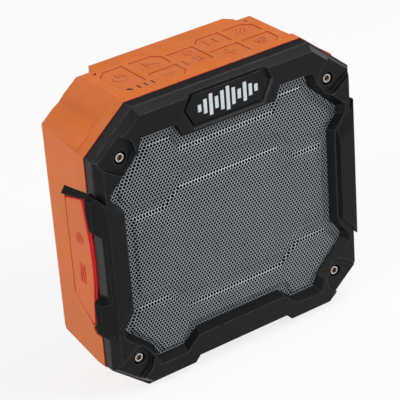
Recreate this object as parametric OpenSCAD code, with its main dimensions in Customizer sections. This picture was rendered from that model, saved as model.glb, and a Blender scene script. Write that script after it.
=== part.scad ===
// Rugged jobsite speaker: an eight-sided orange housing with a black bevelled
// front frame, a pressed grille, eight top keys and a hinged port cover.
// X runs to the right, Y to the back and Z up. The origin is under the middle
// of the speaker, on the surface it stands on.

/* [Enclosure] */
// Width across the flat sides of the housing
body_w = 124.5; // [118:0.5:140]
// Height from the feet to the top face
body_h = 122.8; // [118:0.1:136]
// Depth of the rear housing behind the parting line
housing_d = 33.7; // [32.5:0.1:42]
// Thickness of the moulded walls
wall = 2.4; // [2.2:0.1:2.8]
// Width of the top corner chamfers
corner_w = 20; // [18:0.1:22]
// Height of the top corner chamfers
corner_h = 16.6; // [15:0.1:18]
// Height of the arch between the feet
arch_h = 5.6; // [3:0.1:7]
// Depth of the strap bar behind the back
bar_d = 5.7; // [5.5:0.1:9]

/* [Front frame] */
// Depth of the flat strip round the frame
strip_d = 5; // [4.8:0.1:7]
// Depth of the bevel in front of the strip
bevel_d = 3.8; // [3.4:0.1:5]
// How far in the bevel reaches
bevel_w = 3; // [2:0.1:4]
// How far the side bumpers stand out sideways
bumper_out = 2.05; // [1:0.05:3]
// How far the side bumpers stand out in front
bumper_up = 1.6; // [0.8:0.1:2.4]

/* [Grille] */
// Spacing of the sound holes along a row
hole_pitch = 5; // [4.4:0.1:8]
// Diameter of the sound holes
hole_d = 2.6; // [1.2:0.1:3.2]
// Height of the pressed panels
press_h = 1; // [0.6:0.1:1.4]

/* [Fasteners] */
// Diameter of the four frame screws
frame_screw_d = 3; // [2.5:0.1:3.2]
// Diameter of the small board and driver screws
small_screw_d = 2; // [1.6:0.1:2.4]

/* [Driver] */
// Diameter of the driver's flange
driver_d = 66; // [60:1:70]
// How far the cone moves each way
cone_travel = 1.2; // [0.5:0.1:1.5]

/* [Keys] */
// Gap round each key
key_gap = 0.3; // [0.3:0.05:0.4]
// How far a key is pressed
key_travel = 0.6; // [0.3:0.1:0.8]
// How far the keys lie below the top face
key_sunk = 0.4; // [0:0.1:0.8]

/* [Ports] */
// Thickness of the port cover
cover_t = 2; // [1.8:0.1:2.2]
// Diameter of the hinge pin
pin_d = 1.2; // [1:0.1:1.4]
// Bore of the headphone-plug socket
aux_d = 3.6; // [3.5:0.05:3.8]

/* [Battery] */
// Diameter of the battery cell
cell_d = 18.4; // [16:0.1:18.6]
// Length of the battery cell
cell_l = 65; // [50:1:66]

/* [Hidden] */
$fn = 64;
eps = 0.02;
orange = [0.82, 0.46, 0.27];
black = [0.14, 0.14, 0.145];
rubber = [0.1, 0.1, 0.1];
grey = [0.5, 0.53, 0.55];
silver = [0.75, 0.76, 0.77];
green = [0.1, 0.36, 0.2];
chip = [0.12, 0.12, 0.13];

// Free play between pieces that don't move on each other, and round a pin
fit = 0.3;
pin_fit = 0.05;

// Scale of the front pattern with the size of the body
hw = body_w / 2;
sx = body_w / 124.5;
sz = body_h / 122.8;
sd = housing_d / 33.7;
pz = 59.8 * sz;

// Planes from front to back
depth = bumper_up + bevel_d + strip_d + housing_d + bar_d;
front_y = -depth / 2;
face_y = front_y + bumper_up;
strip_y = face_y + bevel_d;
part_y = strip_y + strip_d;
rear_y = part_y + housing_d;
rear_wall = wall + 0.2;
inner_y = rear_y - rear_wall;
gasket_t = 0.8;
baffle_t = 2.5;
cloth_t = 0.5;
sheet_t = 1;
baffle_y = part_y - gasket_t - baffle_t;
cloth_y = baffle_y - cloth_t;
grille_y = cloth_y - sheet_t;

// Wall of the housing with room for its taper and steps
shell = wall + 1.6;
top_in = body_h - shell;
floor_in = arch_h + wall;
ground = 0.6;
lip = 0.4;
// Ledge between the frame's strip and its bevel
ledge = 0.45;
rim_d = 4.8 * sd;
taper_x = 1.6;
taper_low = 3.6;
round_r = 3;

// Bottom corners, feet and arch
low_w = corner_w * 0.8;
low_h = corner_h * 0.8;
arch_top = 22.3 * sx;
arch_foot = 28.4 * sx;

// Frame screws
screw_x = 50 * sx;
screw_z = 44.6 * sz;
screw_r = frame_screw_d / 2;
head_r = screw_r + 0.6;
head_y = grille_y + 0.5;
head_h = 2;
pocket_y = head_y - head_h - 0.5;
post_r = screw_r + 2.1;
boss_r = screw_r + 2.5;
small_r = small_screw_d / 2;

// Port side
recess_x = hw - 3.85;
panel_t = 1.2;
panel_x = recess_x + panel_t;
cover_x = panel_x + 0.4;
cover_out = cover_x + cover_t;
bead_r = cover_t - 0.6;
hinge_x = cover_out - bead_r;
hinge_y = part_y + 16.4 * sd;
hinge_wall = hinge_y + bead_r + 0.45;
pin_r = pin_d / 2;
hinge_hi = 22.6 * sz;
hinge_lo = 20.4 * sz;
pad_x = recess_x - 1.8;
port_y = part_y + 11.6 * sd;
usb_z = -8;
aux_z = 8;

// Boards
board_x = pad_x - 0.4;
board_w = 20;
board_t = 1.6;
board_lo = pz - 30;
board_hi = pz + 32;
kb_top = body_h - 10.2;
kb_x = 43 * sx;
kb_y0 = part_y + 2.7;
kb_y1 = inner_y - 1.4;
sw_top = kb_top + 2.4;
flange_z = top_in - 0.3;
flange_t = 1;
post_z = sw_top + key_travel + 0.3;
icon_h = 0.25;
kpost_x = 40.5 * sx;
kpost_y = [part_y + 6.5, inner_y - 5.5];

// Driver
dk = driver_d / 66;
ring_y = part_y - gasket_t;
frame_y = ring_y + 0.8;
dscrew = 30.2 * dk;

// Battery
cell_r = cell_d / 2;
cell_y = part_y + 16.5 * sd;
cradle_t = 1.2;
cell_z = floor_in + cradle_t + cell_r;

// Keys: name, left, right, front, back (from the parting line), cut corner, cut
// Corners count from the front left one, turning to the front right one
keys = [
  ["key_power", -37, -24.8, 9.9, 27.5, 3, 3.8],
  ["key_previous", -21.3, -8.3, 17.2, 27.2, 2, 3],
  ["key_volume_down", -21.3, -8.3, 4.7, 14, 1, 2.5],
  ["key_play", -6.1, 6.1, 8.7, 23.3, -1, 0],
  ["key_next", 8.3, 21.3, 17.2, 27.2, 3, 3],
  ["key_volume_up", 8.3, 21.3, 4.7, 14, 0, 2.5],
  ["key_link", 23.8, 36.5, 17.2, 27.2, 2, 3.5],
  ["key_pairing", 23.8, 36.5, 4.7, 14, 1, 2.5]
];
marks_x = [-34, -30.3, -27.1, -23.9];
marks_y = 7;

// Helpers

// A front-view outline drawn out from y0 to y1
module span(y0, y1) {
  translate([0, y1, 0])
    rotate([90, 0, 0])
      linear_extrude(y1 - y0)
        children();
}

// A side-view outline (Y, Z) drawn out from x0 to x1
module across(x0, x1) {
  translate([x0, 0, 0])
    rotate([90, 0, 90])
      linear_extrude(x1 - x0)
        children();
}

// A plan outline drawn out from z0 to z1
module rise(z0, z1) {
  translate([0, 0, z0])
    linear_extrude(z1 - z0)
      children();
}

// A profile (radius, Y) turned about the driver's axis
module turned() {
  translate([0, 0, pz])
    rotate([-90, 0, 0])
      rotate_extrude($fn = 96)
        children();
}

// A round bar along Y at (x, z)
module bar_y(x, z, y0, y1, r) {
  translate([x, y1, z])
    rotate([90, 0, 0])
      cylinder(h = y1 - y0, r = r);
}

// A round bar along X at (y, z)
module bar_x(x0, x1, y, z, r) {
  translate([x0, y, z])
    rotate([0, 90, 0])
      cylinder(h = x1 - x0, r = r);
}

// A box between two opposite corners
module box(a, b) {
  translate(a)
    cube([b[0] - a[0], b[1] - a[1], b[2] - a[2]]);
}

// A wire through a list of points
module wire(p, r) {
  for (i = [0 : len(p) - 2]) {
    d = p[i + 1] - p[i];
    n = norm(d);
    translate(p[i])
      rotate([0, acos(d[2] / n), atan2(d[1], d[0])])
        cylinder(h = n, r = r, $fn = 24);
  }
  for (i = [1 : len(p) - 2])
    translate(p[i])
      sphere(r = r, $fn = 24);
}

// Both sides, and all four corners of the front
module both_sides() {
  children();
  mirror([1, 0, 0])
    children();
}

function flip(p) = [for (i = [len(p) - 1 : -1 : 0]) [-p[i][0], p[i][1]]];
function mid(a, b) = (a + b) / 2;

// Outline of the body, moved in by o
tn = [corner_h, corner_w] / norm([corner_h, corner_w]);
tc = tn * [hw - corner_w, body_h];
bn = [low_h, -low_w] / norm([low_h, -low_w]);
bc = bn * [hw, low_h];
function side(o) = [
  [(bc - o - bn[1] * o) / bn[0], o],
  [hw - o, (bc - o - bn[0] * (hw - o)) / bn[1]],
  [hw - o, (tc - o - tn[0] * (hw - o)) / tn[1]],
  [(tc - o - tn[1] * (body_h - o)) / tn[0], body_h - o]
];
function outline(o) = concat(side(o), flip(side(o)));

// Outline of the frame, in by o at the sides and top, and down to the ground
function strip_outline(o) =
  let (q = side(o), s = [[(bc - o) / bn[0], 0], q[1], q[2], q[3]])
  concat(s, flip(s));

// Arch between the feet, with g of wall over it
function arch(g) = [
  [-arch_foot - g * 1.6, -1 - g * 0.4],
  [arch_foot + g * 1.6, -1 - g * 0.4],
  [arch_top + g * 0.6, arch_h + g],
  [-arch_top - g * 0.6, arch_h + g]
];

module ring_2d(o) {
  difference() {
    polygon(outline(o));
    polygon(arch(o));
  }
}

// Body outline with the stepped corners of the housing
cd = [corner_w, -corner_h];
function step(t, s) = [hw - corner_w, body_h] + cd * t + tn * s;
function stepped() =
  let (s = [
    [hw - low_w, 0], [hw, low_h], [hw, body_h - corner_h], step(0.92, 0.85), step(0.72, 0.5), step(0.475, -1.15),
    step(0.34, -0.55), [hw - corner_w - 1.3, body_h]
  ])
  concat(s, flip(s));
function resized(p, kx, kz) = [for (q = p) [q[0] * kx, q[1] * kz]];

// Rounding of a back edge, in two flats: what lies outside it
function back_cut() = [
  [-round_r * 1.354, round_r * 0.1465], [-round_r * 0.293, -round_r * 0.293],
  [round_r * 0.1465, -round_r * 1.354], [3, -round_r * 1.354], [3, 6], [-round_r * 1.354, 6]
];

// The solid shape of the housing, before it is hollowed
module housing_form() {
  m0 = part_y + rim_d;
  lean = atan(taper_x / (rear_y - m0));
  low_slope = taper_low / (rear_y - m0);
  difference() {
    union() {
      span(part_y, m0 + 0.5)
        polygon(outline(0));
      span(m0, rear_y)
        polygon(stepped());
    }
    // Sides that lean in to the back, and the rounded side edges
    both_sides() {
      translate([hw, m0, -10])
        rotate([0, 0, lean])
          cube([10, 60, body_h + 20]);
      rise(-10, body_h + 10)
        polygon([for (q = back_cut()) [hw - taper_x + q[1], rear_y + q[0]]]);
      // Rounded edges of the corners
      translate([hw - corner_w, 0, body_h])
        rotate([0, atan(corner_h / corner_w), 0])
          across(-20, 60)
            polygon([for (q = back_cut()) [rear_y + q[0] - 0.1, q[1] + 0.6]]);
      // Lower corners, which lean in to the back
      translate([hw, 0, low_h])
        rotate([0, 180 - atan(low_h / low_w), 0])
          across(-20, 60) {
            polygon([
              [m0 - 2, 2 * low_slope], [m0 - 2, 10], [rear_y + 3, 10],
              [rear_y + 3, -taper_low - 3 * low_slope]
            ]);
            polygon([for (q = back_cut()) [rear_y + q[0] - 0.1, q[1] + 0.3 - taper_low]]);
          }
    }
    // Rounded top edge
    across(-body_w, body_w)
      polygon([for (q = back_cut()) [rear_y + q[0], body_h + q[1]]]);
    // Arch and floor
    span(part_y - 1, rear_y + 1)
      polygon(arch(0));
    box([-body_w, part_y - 1, -5], [body_w, rear_y + 1, ground]);
  }
}

// Front pattern of the grille opening, about the middle of the panel
grille_half = [
  [20.8, -42.8], [27.3, -48.5], [39.6, -48.5], [41.3, -43], [54.5, -30.5],
  [54.5, -27], [49.5, -21], [49.5, 21], [54.5, 27], [54.5, 30.5],
  [41.3, 43], [39.6, 48.5], [23.7, 48.5], [20.8, 42.8]
];
function grille_pts(k) = resized(concat(grille_half, flip(grille_half)), sx * k, sz * k);

// Pressed panels of the grille, moved in by g
function panel_mid(g) =
  let (s = [
    [24.4, -25 + g], [32.6, -18.4 + g], [46 - g, -18.4 + g], [46 - g, 15.8 - g],
    [32.2, 15.8 - g], [24, 22 - g]
  ])
  resized(concat(s, flip(s)), sx, sz);
function panel_end(g, up) =
  let (c = up > 0 ? 0 : -2, s = [
    [22.5 - g * 0.4, 29.2 + g], [32.4, 21.6 + g], [46.5 - g, 21.6 + g], [51 - g, 26.6 + g * 0.6],
    [51 - g, 29.8 - g], [39 - g, 41 - g], [37.2 - g, 44.6 - g], [25.8 - c + g, 44.6 - g],
    [22.8 - c, 38.2 - g]
  ], p = resized(concat(s, flip(s)), sx, sz))
  up > 0 ? p : [for (i = [len(p) - 1 : -1 : 0]) [p[i][0], -p[i][1] - 2.2 * sz]];

module at_panel() {
  translate([0, pz])
    children();
}

// Rows of sound holes: height, first and last place out from the middle
hole_rows = [
  [40.5, 27, 35], [36.2, 25, 39], [32.4, 2.5, 42.5], [28, 30, 47],
  [24.6, 35, 44], [17.8, 0, 20], [13.4, 2.5, 43], [9, 0, 43], [4.6, 2.5, 43],
  [0.2, 0, 43], [-4.2, 2.5, 43], [-8.6, 0, 43], [-13, 2.5, 43], [-17.4, 0, 25],
  [-21.8, 2.5, 21], [-26.8, 35, 44], [-30.2, 30, 47], [-34.6, 2.5, 42.5],
  [-38.4, 27, 39], [-42.7, 29, 35]
];
module sound_holes() {
  for (r = hole_rows)
    for (x = [r[1] : hole_pitch : r[2] + 0.01])
      for (m = x > 0 ? [-1, 1] : [1])
        translate([m * x * sx, r[0] * sz])
          circle(d = hole_d, $fn = 20);
}

// Side bumper, seen from the front, and in section (X, Y)
function bumper_front() = [
  for (q = [[51.6, -18.8], [59.4, -26.9], [62.6, -31], [67, -27.5], [67, 26.2],
    [62.6, 31.6], [58.3, 27.2], [51.6, 21.6]])
  [hw - 62.25 + q[0], q[1] * sz]
];
bump_x = hw - 10.65;
bump_seat = grille_y - 1.2;
web_x = hw - 1.25;
bump_back = 0.8;
// Lengths of the sloping ends, from the front down to the frame
end_up = 5.2;
end_low = 1.2;
module bumper_body() {
  difference() {
    intersection() {
      span(front_y - 1, part_y)
        at_panel()
          polygon(bumper_front());
      rise(0, body_h)
        polygon([
          [bump_x, bump_seat], [web_x, bump_seat], [web_x, part_y],
          [hw + bumper_out, part_y - bump_back], [hw + bumper_out, strip_y],
          [hw - 2.45, front_y], [bump_x + 1.1, front_y], [bump_x, face_y + 0.3]
        ]);
    }
    // Sloping upper end
    translate([hw - 9.75, 0, pz + 17.2 * sz])
      rotate([0, -36, 0])
        across(-12, 20)
          polygon([
            [front_y - 1, -end_up / bumper_up], [front_y + bumper_up, end_up],
            [front_y + bumper_up, 14], [front_y - 1, 14]
          ]);
    // Sloping lower end
    translate([hw - 9.75, 0, pz - 18.3 * sz])
      rotate([0, 46, 0])
        across(-12, 20)
          polygon([
            [front_y - 1, end_low / bumper_up], [front_y + bumper_up, -end_low],
            [front_y + bumper_up, -14], [front_y - 1, -14]
          ]);
  }
}

// Recess for a screw, seen from the front, about its axis at the top right
pocket_pts = [
  [3, 12], [0, 9.2], [-4.4, 5.4], [-5.6, 0.9], [-1.5, -5.6], [1.5, -6.1],
  [6, -3.1], [12.5, 1.4], [13, 12]
];

module each_screw() {
  for (i = [-1, 1])
    for (j = [-1, 1])
      translate([i * screw_x, pz + j * screw_z])
        scale_sign(i, j)
          children();
}
module scale_sign(i, j) {
  mirror([i < 0 ? 1 : 0, 0, 0])
    mirror([0, j < 0 ? 1 : 0, 0])
      children();
}

// Plan outline of a key, grown by g
function key_pts(k, g) =
  let (
    a = [k[1] * sx - g, part_y + k[3] * sd - g],
    b = [k[2] * sx + g, part_y + k[4] * sd + g],
    c = k[6] + 0.586 * g,
    q = [a, [b[0], a[1]], b, [a[0], b[1]]]
  )
  k[5] < 0 ? q : [
    for (i = [0 : 3])
      let (p = q[i], u = (q[(i + 3) % 4] - p), v = (q[(i + 1) % 4] - p))
      each (i == k[5] ? [p + u / norm(u) * c, p + v / norm(v) * c] : [p])
  ];
function key_mid(k) = [mid(k[1], k[2]) * sx, part_y + mid(k[3], k[4]) * sd];

// Icons, about the middle of a key
module arrow(w, h) {
  polygon([[-w / 2, -h / 2], [w / 2, 0], [-w / 2, h / 2]]);
}
module stroke(x, y, w, h, a = 0) {
  translate([x, y])
    rotate(a)
      square([w, h], center = true);
}
module icon(name) {
  if (name == "key_power") {
    difference() {
      circle(r = 3.1);
      circle(r = 2.4);
      stroke(0, 3, 2.6, 3);
    }
    stroke(0, 2.4, 0.7, 3.4);
  }
  if (name == "key_previous" || name == "key_next") {
    m = name == "key_next" ? 1 : -1;
    mirror([m < 0 ? 1 : 0, 0])
      translate([-0.6, 0])
        arrow(4, 5);
    stroke(m * 2.2, 0, 0.8, 5);
  }
  if (name == "key_volume_down" || name == "key_volume_up")
    stroke(0, 0, 5.4, 0.8);
  if (name == "key_volume_up")
    stroke(0, 0, 0.8, 5.4);
  if (name == "key_play") {
    translate([-2.6, -3.2])
      arrow(4, 5);
    stroke(1, -3.2, 0.8, 5);
    stroke(3, -3.2, 0.8, 5);
    translate([2, 3.4])
      difference() {
        circle(r = 2.2);
        circle(r = 1.5);
      }
  }
  if (name == "key_link")
    for (i = [-1 : 1])
      stroke(i * 2, 0, 0.8, 5, -35);
  if (name == "key_pairing")
    for (r = [1, 2.4])
      difference() {
        circle(r = r + 0.4);
        circle(r = r - 0.4);
      }
}

// A key: a cap through the top face with a raised icon, a flange under it and a post
module key(i) {
  k = keys[i];
  c = key_mid(k);
  top = body_h - key_sunk;
  rise(flange_z - eps, top)
    polygon(key_pts(k, 0));
  rise(flange_z - flange_t, flange_z)
    polygon(key_pts(k, 0.8));
  translate([c[0], c[1], post_z])
    cylinder(h = flange_z - flange_t - post_z + eps, r = 1.6);
  translate([c[0], c[1], 0])
    rise(top - eps, top + icon_h)
      icon(k[0]);
}

// Side view of the port recess and of the cover
function side_pts(p) = [for (q = p) [part_y + q[0] * sd, pz + q[1] * sz]];
function recess_pts() = concat(
  side_pts([[-2, 31.5], [1.3, 31.4], [17.3, 28.1], [20.8, 23]]),
  [
    [hinge_wall, pz + 23.5 * sz], [hinge_wall, pz - hinge_lo - 0.4],
    [hinge_y - 1, pz - hinge_lo - 0.4], [hinge_y - 1, pz - 22.7 * sz]
  ],
  side_pts([[4.9, -29.95], [5.5, -31.4], [3.9, -33.1], [-2, -33.1]])
);
// Cover with its front edge set back by g; its lower back corner clears the lug of the hinge
function cover_pts(g) = concat(
  side_pts([
    for (q = [[4.2, 26], [3, 18], [1.4, 8], [0.9, -2], [1.4, -11], [2.8, -20], [3.7, -28.4],
      [4.6, -29.2]])
    [q[0] + g, q[1]]
  ]),
  [
    [hinge_y - 1.55, pz - 22.6 * sz], [hinge_y - 1.55, pz - hinge_lo], [hinge_y, pz - hinge_lo],
    [hinge_y, pz + 23.5 * sz]
  ],
  side_pts([[5.4 + g, 26.4]])
);

// Enclosure

module rear_housing() {
  color(orange)
    difference() {
      union() {
        difference() {
          housing_form();
          span(part_y - 1, inner_y)
            difference() {
              polygon(outline(shell));
              polygon(arch(wall));
              both_sides()
                translate([hw, low_h])
                  rotate(180 + atan(low_h / low_w))
                    translate([-10, 0])
                      square([low_w + 40, taper_low + wall]);
            }
        }
        // Posts for the frame screws
        for (i = [-1, 1])
          for (j = [-1, 1])
            bar_y(i * screw_x, pz + j * screw_z, part_y, inner_y + 1, boss_r);
        // Posts for the main board
        for (p = board_posts)
          bar_y(p[0], p[1], board_y + board_t, inner_y + 1, small_r + 1.6);
        // Posts for the key board
        for (i = [-1, 1])
          for (y = kpost_y)
            translate([i * kpost_x, y, kb_top])
              cylinder(h = top_in + 0.7 - kb_top, r = small_r + 1.4);
        // Thick wall behind the port recess
        intersection() {
          across(-hw + 1, -pad_x)
            polygon([
              [part_y, pz - 36 * sz], [hinge_y + 7, pz - 36 * sz],
              [hinge_y + 7, pz + 35 * sz], [part_y, pz + 35 * sz]
            ]);
          span(part_y, inner_y)
            polygon(outline(wall));
        }
      }
      // Port recess with its sockets and hinge bores
      across(-hw - 5, -recess_x)
        polygon(recess_pts());
      translate([0, port_y, 0])
        usb_cut(0.3);
      bar_x(-hw, -pad_x + 1, aux_y, pz + aux_z, 3.1);
      translate([-hinge_x, hinge_y, pz - hinge_lo - 4.6])
        cylinder(h = 6, r = pin_r + pin_fit);
      // Keys and charge marks
      for (k = keys)
        rise(top_in - 1, body_h + 2)
          polygon(key_pts(k, key_gap));
      rise(top_in - 1, body_h + 2)
        marks(0);
      rise(top_in - 1, body_h + 2)
        vent_2d();
      // Seat of the strap bar
      box([-34.7 * sx, seat_y, seat_z], [34.7 * sx, rear_y + 1, body_h + 3]);
      // Screw holes
      for (i = [-1, 1])
        for (j = [-1, 1])
          bar_y(i * screw_x, pz + j * screw_z, part_y - 1, part_y + 12, screw_r + pin_fit);
      for (p = board_posts)
        bar_y(p[0], p[1], board_y, board_y + board_t + 7, small_r + pin_fit);
      for (i = [-1, 1])
        for (y = kpost_y)
          translate([i * kpost_x, y, kb_top - 1])
            cylinder(h = 6, r = small_r + pin_fit);
      // Pockets of the foot pads
      for (p = pads)
        box([p[0], p[1], -1], [p[0] + pad_w, p[1] + pad_d, ground + 1]);
    }
}

board_y = port_y + 1.6;
aux_y = board_y - 3;
board_posts = [
  [-board_x + board_w - 3, board_lo + 3], [-board_x + board_w - 3, board_hi - 12],
  [-board_x + 3, board_hi - 3]
];
seat_y = rear_y - 3.7;
seat_z = body_h - 2.6;
pad_w = 11.4 * sx;
pad_d = 6;
pads = [
  for (x = [-40.6 * sx, 29.2 * sx])
    for (y = [part_y + 3.5, rear_y - 10.5])
      [x, y]
];

module marks(g) {
  for (i = [1 : 3])
    translate([marks_x[i] * sx, part_y + marks_y * sd])
      square([0.9 + g, 3 + g], center = true);
  translate([marks_x[0] * sx, part_y + marks_y * sd])
    polygon([[-1.6, 1.5], [0.5, 1.5], [0.2, 0.4], [1.3, 0.4], [-0.3, -1.6], [0, -0.3], [-1, -0.3]]);
}
module vent_2d() {
  for (m = [-1, 1])
    translate([m * 36.4 * sx, part_y + 28.2 * sd])
      polygon([[-m * 1.2, 0.9], [m * 1, 0.9], [m * 0.6, -1.5]]);
}
module usb_cut(g) {
  box([-hw, -1.6 - g, pz + usb_z - 4.2 - g], [-pad_x + 1, 1.6 + g, pz + usb_z + 4.2 + g]);
}

module front_bezel() {
  color(black)
    difference() {
      union() {
        // Strip, which leaves the housing's front edge showing, and bevel on it
        span(strip_y, part_y)
          polygon(strip_outline(lip));
        hull() {
          span(strip_y, strip_y + 0.5)
            polygon(strip_outline(lip + ledge));
          span(face_y, face_y + 0.01)
            polygon(outline(bevel_w));
        }
      }
      span(front_y, part_y + 1)
        polygon(arch(0));
      // Hollow behind the face, leaving the four posts
      span(grille_y, part_y + 1)
        difference() {
          ring_2d(wall);
          each_screw()
            circle(r = post_r);
        }
      // Grille opening with its sloping edge
      translate([0, grille_y + 0.1, pz])
        rotate([90, 0, 0])
          linear_extrude(grille_y + 0.1 - face_y + 0.02, scale = 1.045)
            polygon(grille_pts(1));
      // Screw pockets with sloping walls
      translate([0, pocket_y, 0])
        rotate([90, 0, 0])
          each_screw()
            linear_extrude(pocket_y - front_y + 0.1, scale = 1.15)
              polygon(pocket_pts);
      for (i = [-1, 1])
        for (j = [-1, 1]) {
          bar_y(i * screw_x, pz + j * screw_z, front_y, head_y, head_r + 0.7);
          bar_y(i * screw_x, pz + j * screw_z, front_y, part_y + 1, screw_r + 0.2);
        }
      // Badge recess with its sloping lip
      hull() {
        span(front_y - 0.1, front_y)
          at_panel()
            polygon(badge_pts(-2.1, 66));
        span(badge_y - 0.05, badge_y)
          at_panel()
            polygon(badge_pts(0, 63));
      }
      // Seats of the bumpers
      both_sides() {
        span(front_y, bump_seat)
          at_panel()
            polygon(bumper_front());
        intersection() {
          span(front_y, part_y + 1)
            at_panel()
              polygon(bumper_front());
          box([web_x, front_y, 0], [hw + 5, part_y + 1, body_h]);
        }
      }
    }
}

badge_y = face_y + 1.5;
function badge_pts(g, hi) = resized(
  let (s = [[16.5 - g * 0.5, 46.8 + g], [20.5 - g, 54.6], [16.5 - g * 0.5, hi]])
  concat(s, flip(s)), sx, sz);

module badge_plate() {
  color(black)
    span(badge_y - 0.7, badge_y)
      at_panel()
        polygon(badge_pts(0.5, 59.6));
}

module badge_mark() {
  h = [3, 6, 9, 5, 8, 10, 7, 4, 8, 5, 3];
  color([0.86, 0.9, 0.92])
    span(badge_y - 0.9, badge_y - 0.7)
      for (i = [0 : len(h) - 1])
        translate([(i - 5) * 2.7 * sx, pz + 53.4 * sz])
          square([1.6, h[i]], center = true);
}

module bumper_left() {
  color(black)
    mirror([1, 0, 0])
      difference() {
        bumper_body();
        // Finger notch in front of the port cover
        span(front_y - 1, part_y + 1)
          at_panel()
            polygon([
              [web_x, -14 * sz], [hw + 6, -18 * sz], [hw + 6, 20 * sz],
              [hw - 0.3, 14.6 * sz], [web_x, 13.4 * sz]
            ]);
        // Back edge of the upper end, which leaves the edge of the cover in sight
        across(hw - 0.6, hw + 6)
          polygon(side_pts([
            [-bump_back, 36], [-1, 24], [-2.1, 17.2], [-2.3, 10], [1, 10], [1, 36]
          ]));
      }
}

module bumper_right() {
  color(black)
    bumper_body();
}

module grille() {
  color(grey) {
    for (p = [panel_mid(0), panel_end(0, 1), panel_end(0, -1)])
      span(grille_y - press_h, grille_y)
        at_panel()
          difference() {
            polygon(p);
            sound_holes();
          }
    span(grille_y, cloth_y)
      at_panel()
        difference() {
          polygon(grille_pts(1.05));
          polygon(panel_mid(1));
          polygon(panel_end(1, 1));
          polygon(panel_end(1, -1));
        }
  }
}

module grille_cloth() {
  color(rubber)
    span(cloth_y, baffle_y)
      at_panel()
        polygon(grille_pts(1.05));
}

module baffle() {
  color(black)
    difference() {
      span(baffle_y, ring_y)
        difference() {
          ring_2d(wall + fit);
          each_screw()
            circle(r = post_r + fit);
          translate([0, pz])
            circle(r = 26.5 * dk, $fn = 96);
        }
      for (a = [45 : 90 : 315])
        bar_y(dscrew * cos(a), pz + dscrew * sin(a), baffle_y + 0.6, ring_y + 1, small_r + pin_fit);
    }
}

module bezel_gasket() {
  color(rubber)
    span(ring_y, part_y)
      difference() {
        ring_2d(wall + fit);
        difference() {
          polygon(outline(shell));
          polygon(arch(wall + 1.4));
        }
      }
}

// A screw along Y with its head in front: an outer head and a hexagon socket
module front_screw(len) {
  rotate([90, 0, 0])
    difference() {
      union() {
        cylinder(h = head_h - 0.4, r = head_r);
        translate([0, 0, head_h - 0.4])
          cylinder(h = 0.4, r1 = head_r, r2 = head_r - 0.3);
        translate([0, 0, -len])
          cylinder(h = len + eps, r = screw_r);
      }
      translate([0, 0, head_h - 1.2])
        cylinder(h = 2, r = head_r * 0.62, $fn = 6);
    }
}

module bezel_screws() {
  color(silver)
    for (i = [-1, 1])
      for (j = [-1, 1])
        translate([i * screw_x, head_y, pz + j * screw_z])
          front_screw(part_y + 11 - head_y);
}

module strap_bar() {
  y = rear_y;
  t = body_h;
  e = rear_y + bar_d;
  color(orange)
    intersection() {
      across(-36 * sx, 36 * sx)
        polygon([
          [seat_y, seat_z], [y, seat_z], [y, t - 4], [e - 1.3, t - 4], [e - 1.3, t - 10.8],
          [y, t - 10.8], [y, t - 12.8], [e - 1, t - 12.8], [e, t - 11.5], [e, t - 1.9],
          [e - 0.8, t - 1.1], [y, t - 0.4], [seat_y, t - 0.25]
        ]);
      rise(0, body_h + 2)
        polygon([
          [-34.7 * sx, seat_y], [34.7 * sx, seat_y], [34.7 * sx, y], [32.4 * sx, e],
          [-32.4 * sx, e], [-34.7 * sx, y]
        ]);
    }
}

module vent_inserts() {
  color(rubber)
    rise(top_in, body_h - 1.4)
      vent_2d();
}

module foot_pads() {
  color(rubber)
    for (p = pads)
      box([p[0], p[1], 0], [p[0] + pad_w, p[1] + pad_d, ground + 1]);
}

// Black liner of the port recess, with a bar above the cover and a tip below it
module port_panel() {
  color(black)
    difference() {
      union() {
        across(-panel_x, -recess_x)
          polygon(side_pts([
            [0, 31.2], [14.3, 28.3], [14.3, -23], [4.7, -29.5], [5.1, -31.3], [3.8, -32.9],
            [0, -32.9]
          ]));
        across(-cover_out + 0.2, -recess_x)
          polygon(side_pts([
            [0, 31.3], [1.3, 31.2], [17.1, 27.9], [20.4, 23.3], [18.2, 23.8], [3.1, 27.6],
            [0, 28.2]
          ]));
        across(-cover_out + 0.4, -recess_x)
          polygon(side_pts([[0, -29.9], [4.6, -30], [5.3, -31.3], [3.8, -32.9], [0, -32.9]]));
      }
      // Upper bore of the hinge
      translate([-hinge_x, hinge_y, pz + hinge_hi - 1])
        cylinder(h = 5, r = pin_r + pin_fit);
      translate([0, port_y, 0])
        usb_cut(0.3);
      bar_x(-hw, -pad_x + 1, aux_y, pz + aux_z, 3.1);
    }
}

module port_cover() {
  color(orange)
    union() {
      across(-cover_out + 0.8, -cover_x)
        polygon(cover_pts(0));
      across(-cover_out, -cover_out + 0.8 + eps)
        polygon(cover_pts(0.6));
      // Raised signs of the sockets behind it
      across(-cover_out - 0.25, -cover_out + eps)
        port_signs();
      // Bead and pins of the hinge
      translate([-hinge_x, hinge_y, pz - hinge_lo])
        cylinder(h = hinge_lo + hinge_hi, r = bead_r);
      translate([-hinge_x, hinge_y, pz - hinge_lo - 4])
        cylinder(h = hinge_lo + hinge_hi + 7.4, r = pin_r);
    }
}

// A round socket and a flat one, seen from the side
module port_signs() {
  y = part_y + 9.4 * sd;
  translate([y, pz + aux_z])
    difference() {
      circle(r = 2.3);
      circle(r = 1.6);
    }
  translate([y, pz + aux_z])
    circle(r = 0.7);
  translate([y, pz + usb_z])
    difference() {
      square([3.4, 8], center = true);
      square([2.2, 6.8], center = true);
    }
  translate([y, pz + usb_z])
    square([0.7, 4.6], center = true);
}

// Driver

module driver_gasket() {
  color(rubber)
    span(ring_y, frame_y)
      translate([0, pz])
        difference() {
          circle(r = 33 * dk, $fn = 96);
          circle(r = 27.2 * dk, $fn = 96);
          for (a = [45 : 90 : 315])
            rotate(a)
              translate([dscrew, 0])
                circle(r = small_r + 0.2);
        }
}

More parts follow.
